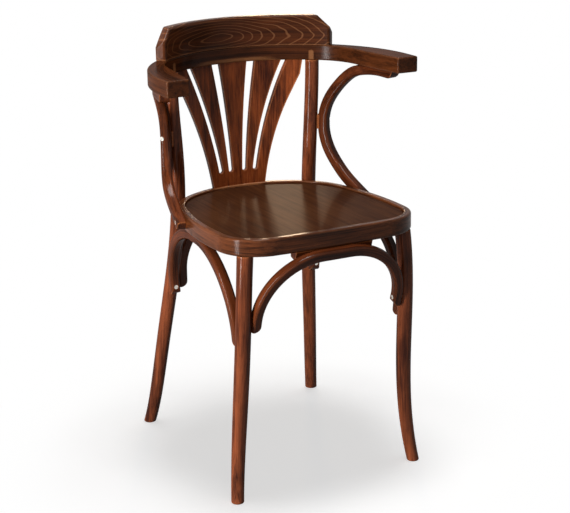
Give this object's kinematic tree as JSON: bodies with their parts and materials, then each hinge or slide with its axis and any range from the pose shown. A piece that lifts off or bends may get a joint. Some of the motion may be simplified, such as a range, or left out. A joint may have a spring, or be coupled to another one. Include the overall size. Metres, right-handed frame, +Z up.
{
  "type": "captains chair",
  "caption": "Bentwood armchair with a horseshoe arm bow, curved crest rail, slotted fan splat, rounded plywood seat and bent arches under the seat.",
  "frame": {"origin": "on the floor, under the centre of the chair's outer box", "axes": "+Z up, the sitter faces -Y, +X is to the right for a viewer who looks at the chair's front"},
  "size_m": [0.487, 0.4585, 0.7903],
  "materials": {
    "stained_beech": "walnut stain under satin lacquer",
    "dark_beech": "dark walnut stain under satin lacquer",
    "seat_plywood": "dark walnut stain under semi-gloss lacquer",
    "splat_plywood": "walnut stain under satin lacquer",
    "plain_beech": "unfinished",
    "zinc_steel": "zinc plated"
  },
  "bodies": {
    "root": {"seat_ring": "stained_beech", "seat_panel": "seat_plywood", "arm_bow": "dark_beech", "crest_rail": "dark_beech", "back_splat": "splat_plywood", "front_leg_left": "stained_beech", "front_leg_right": "stained_beech", "rear_leg_left": "stained_beech", "rear_leg_right": "stained_beech", "arm_support_left": "stained_beech", "arm_support_right": "stained_beech", "support_spacer_left": "stained_beech", "support_spacer_right": "stained_beech", "front_arch": "stained_beech", "rear_arch": "stained_beech", "left_arch": "stained_beech", "right_arch": "stained_beech", "front_arch_block": "stained_beech", "crest_dowels": "plain_beech", "arch_end_screws": "zinc_steel", "arch_crown_screws": "zinc_steel", "front_block_screws": "zinc_steel", "support_top_screws": "zinc_steel", "support_middle_screws": "zinc_steel", "support_foot_screws": "zinc_steel", "rear_leg_bolts": "zinc_steel", "rear_leg_washers": "zinc_steel", "rear_leg_nuts": "zinc_steel"}
  },
  "joints": []
}
